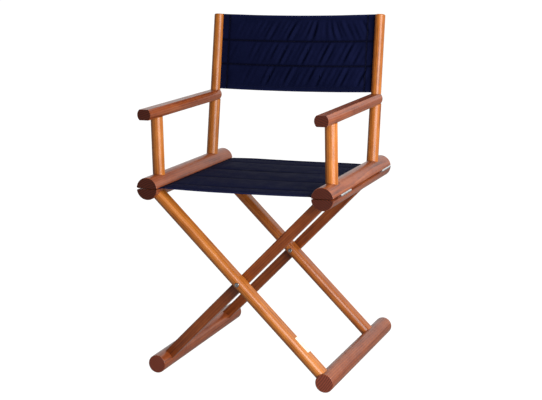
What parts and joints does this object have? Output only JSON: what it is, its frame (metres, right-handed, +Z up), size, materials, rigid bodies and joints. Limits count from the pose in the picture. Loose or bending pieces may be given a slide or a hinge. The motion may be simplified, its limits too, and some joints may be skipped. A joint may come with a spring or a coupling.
{
  "type": "folding director's chair",
  "caption": "Folding wooden director's chair with round rails and posts, crossed legs pivoting on bolts, armrests, and quilted navy cloth seat and back slings.",
  "frame": {"origin": "on the floor under the middle of the chair's outline", "axes": "+Z up, -Y to the front (the way a sitter faces), +X to the right as seen from the front"},
  "size_m": [0.5088, 0.49, 0.8622],
  "materials": {
    "wood_rail": "satin varnish",
    "wood_post": "satin varnish",
    "cloth": "woven, quilted",
    "stainless": "brushed",
    "rod": "plain drawn",
    "plate": "blank, matte"
  },
  "bodies": {
    "right_arm_frame": {"upper_rail_right": "wood_rail", "front_post_right": "wood_post", "back_post_right": "wood_post", "armrest_right": "wood_rail", "hinge_upper_leaves_right": "stainless", "hinge_upper_screws_right": "stainless", "seat_rod_right": "rod", "seat_sleeve_right": "cloth", "back_rod_right": "rod", "back_sleeve_right": "cloth"},
    "right_leg_frame": {"lower_rail_right": "wood_rail", "front_leg_from_right": "wood_post", "rear_leg_from_right": "wood_post", "foot_rail_left": "wood_rail", "hinge_lower_leaves_right": "stainless", "hinge_pins_right": "stainless", "hinge_lower_screws_right": "stainless"},
    "left_leg_frame": {"lower_rail_left": "wood_rail", "front_leg_from_left": "wood_post", "rear_leg_from_left": "wood_post", "foot_rail_right": "wood_rail", "hinge_lower_leaves_left": "stainless", "hinge_pins_left": "stainless", "hinge_lower_screws_left": "stainless", "pivot_bolt_front": "stainless", "pivot_nut_front": "stainless", "pivot_washer_front": "stainless", "pivot_bolt_rear": "stainless", "pivot_nut_rear": "stainless", "pivot_washer_rear": "stainless", "blank_plate": "plate"},
    "left_arm_frame": {"upper_rail_left": "wood_rail", "front_post_left": "wood_post", "back_post_left": "wood_post", "armrest_left": "wood_rail", "hinge_upper_leaves_left": "stainless", "hinge_upper_screws_left": "stainless", "seat_rod_left": "rod", "seat_sleeve_left": "cloth", "back_rod_left": "rod", "back_sleeve_left": "cloth"},
    "seat_half_right": {"seat_sling_right": "cloth"},
    "seat_half_left": {"seat_sling_left": "cloth"},
    "back_half_right": {"back_sling_right": "cloth"},
    "back_half_left": {"back_sling_left": "cloth"}
  },
  "joints": [
    {"name": "right_rail_hinge", "type": "hinge", "parent": "right_arm_frame", "child": "right_leg_frame", "pos_m": [0.2512, 0, 0.469], "axis": [0, -1, 0], "range_deg": [0, 38]},
    {"name": "leg_crossing", "type": "hinge", "parent": "right_leg_frame", "child": "left_leg_frame", "pos_m": [0, 0, 0.24365], "axis": [0, 1, 0], "range_deg": [0, 76]},
    {"name": "left_rail_hinge", "type": "hinge", "parent": "left_leg_frame", "child": "left_arm_frame", "pos_m": [-0.2512, 0, 0.469], "axis": [0, -1, 0], "range_deg": [0, 38]},
    {"name": "seat_fold_right", "type": "hinge", "parent": "right_arm_frame", "child": "seat_half_right", "pos_m": [0.195, 0, 0.469], "axis": [0, 1, 0], "range_deg": [0, 89.65], "deforming": ["seat_sling_right"]},
    {"name": "seat_fold_left", "type": "hinge", "parent": "left_arm_frame", "child": "seat_half_left", "pos_m": [-0.195, 0, 0.469], "axis": [0, -1, 0], "range_deg": [0, 89.65], "deforming": ["seat_sling_left"]},
    {"name": "back_fold_right", "type": "hinge", "parent": "right_arm_frame", "child": "back_half_right", "pos_m": [0.2095, 0.193, 0.76308], "axis": [0, -0.1977, -0.9803], "range_deg": [0, 85.7], "deforming": ["back_sling_right"]},
    {"name": "back_fold_left", "type": "hinge", "parent": "left_arm_frame", "child": "back_half_left", "pos_m": [-0.2095, 0.193, 0.76308], "axis": [0, 0.1977, 0.9803], "range_deg": [0, 85.7], "deforming": ["back_sling_left"]}
  ],
  "couplings": [
    {"joint": "leg_crossing", "follows": "right_rail_hinge", "ratio": 2},
    {"joint": "left_rail_hinge", "follows": "right_rail_hinge", "ratio": 1},
    {"joint": "seat_fold_right", "follows": "right_rail_hinge", "ratio": 2.3592},
    {"joint": "seat_fold_left", "follows": "right_rail_hinge", "ratio": 2.3592},
    {"joint": "back_fold_right", "follows": "right_rail_hinge", "ratio": 2.2553},
    {"joint": "back_fold_left", "follows": "right_rail_hinge", "ratio": 2.2553}
  ]
}
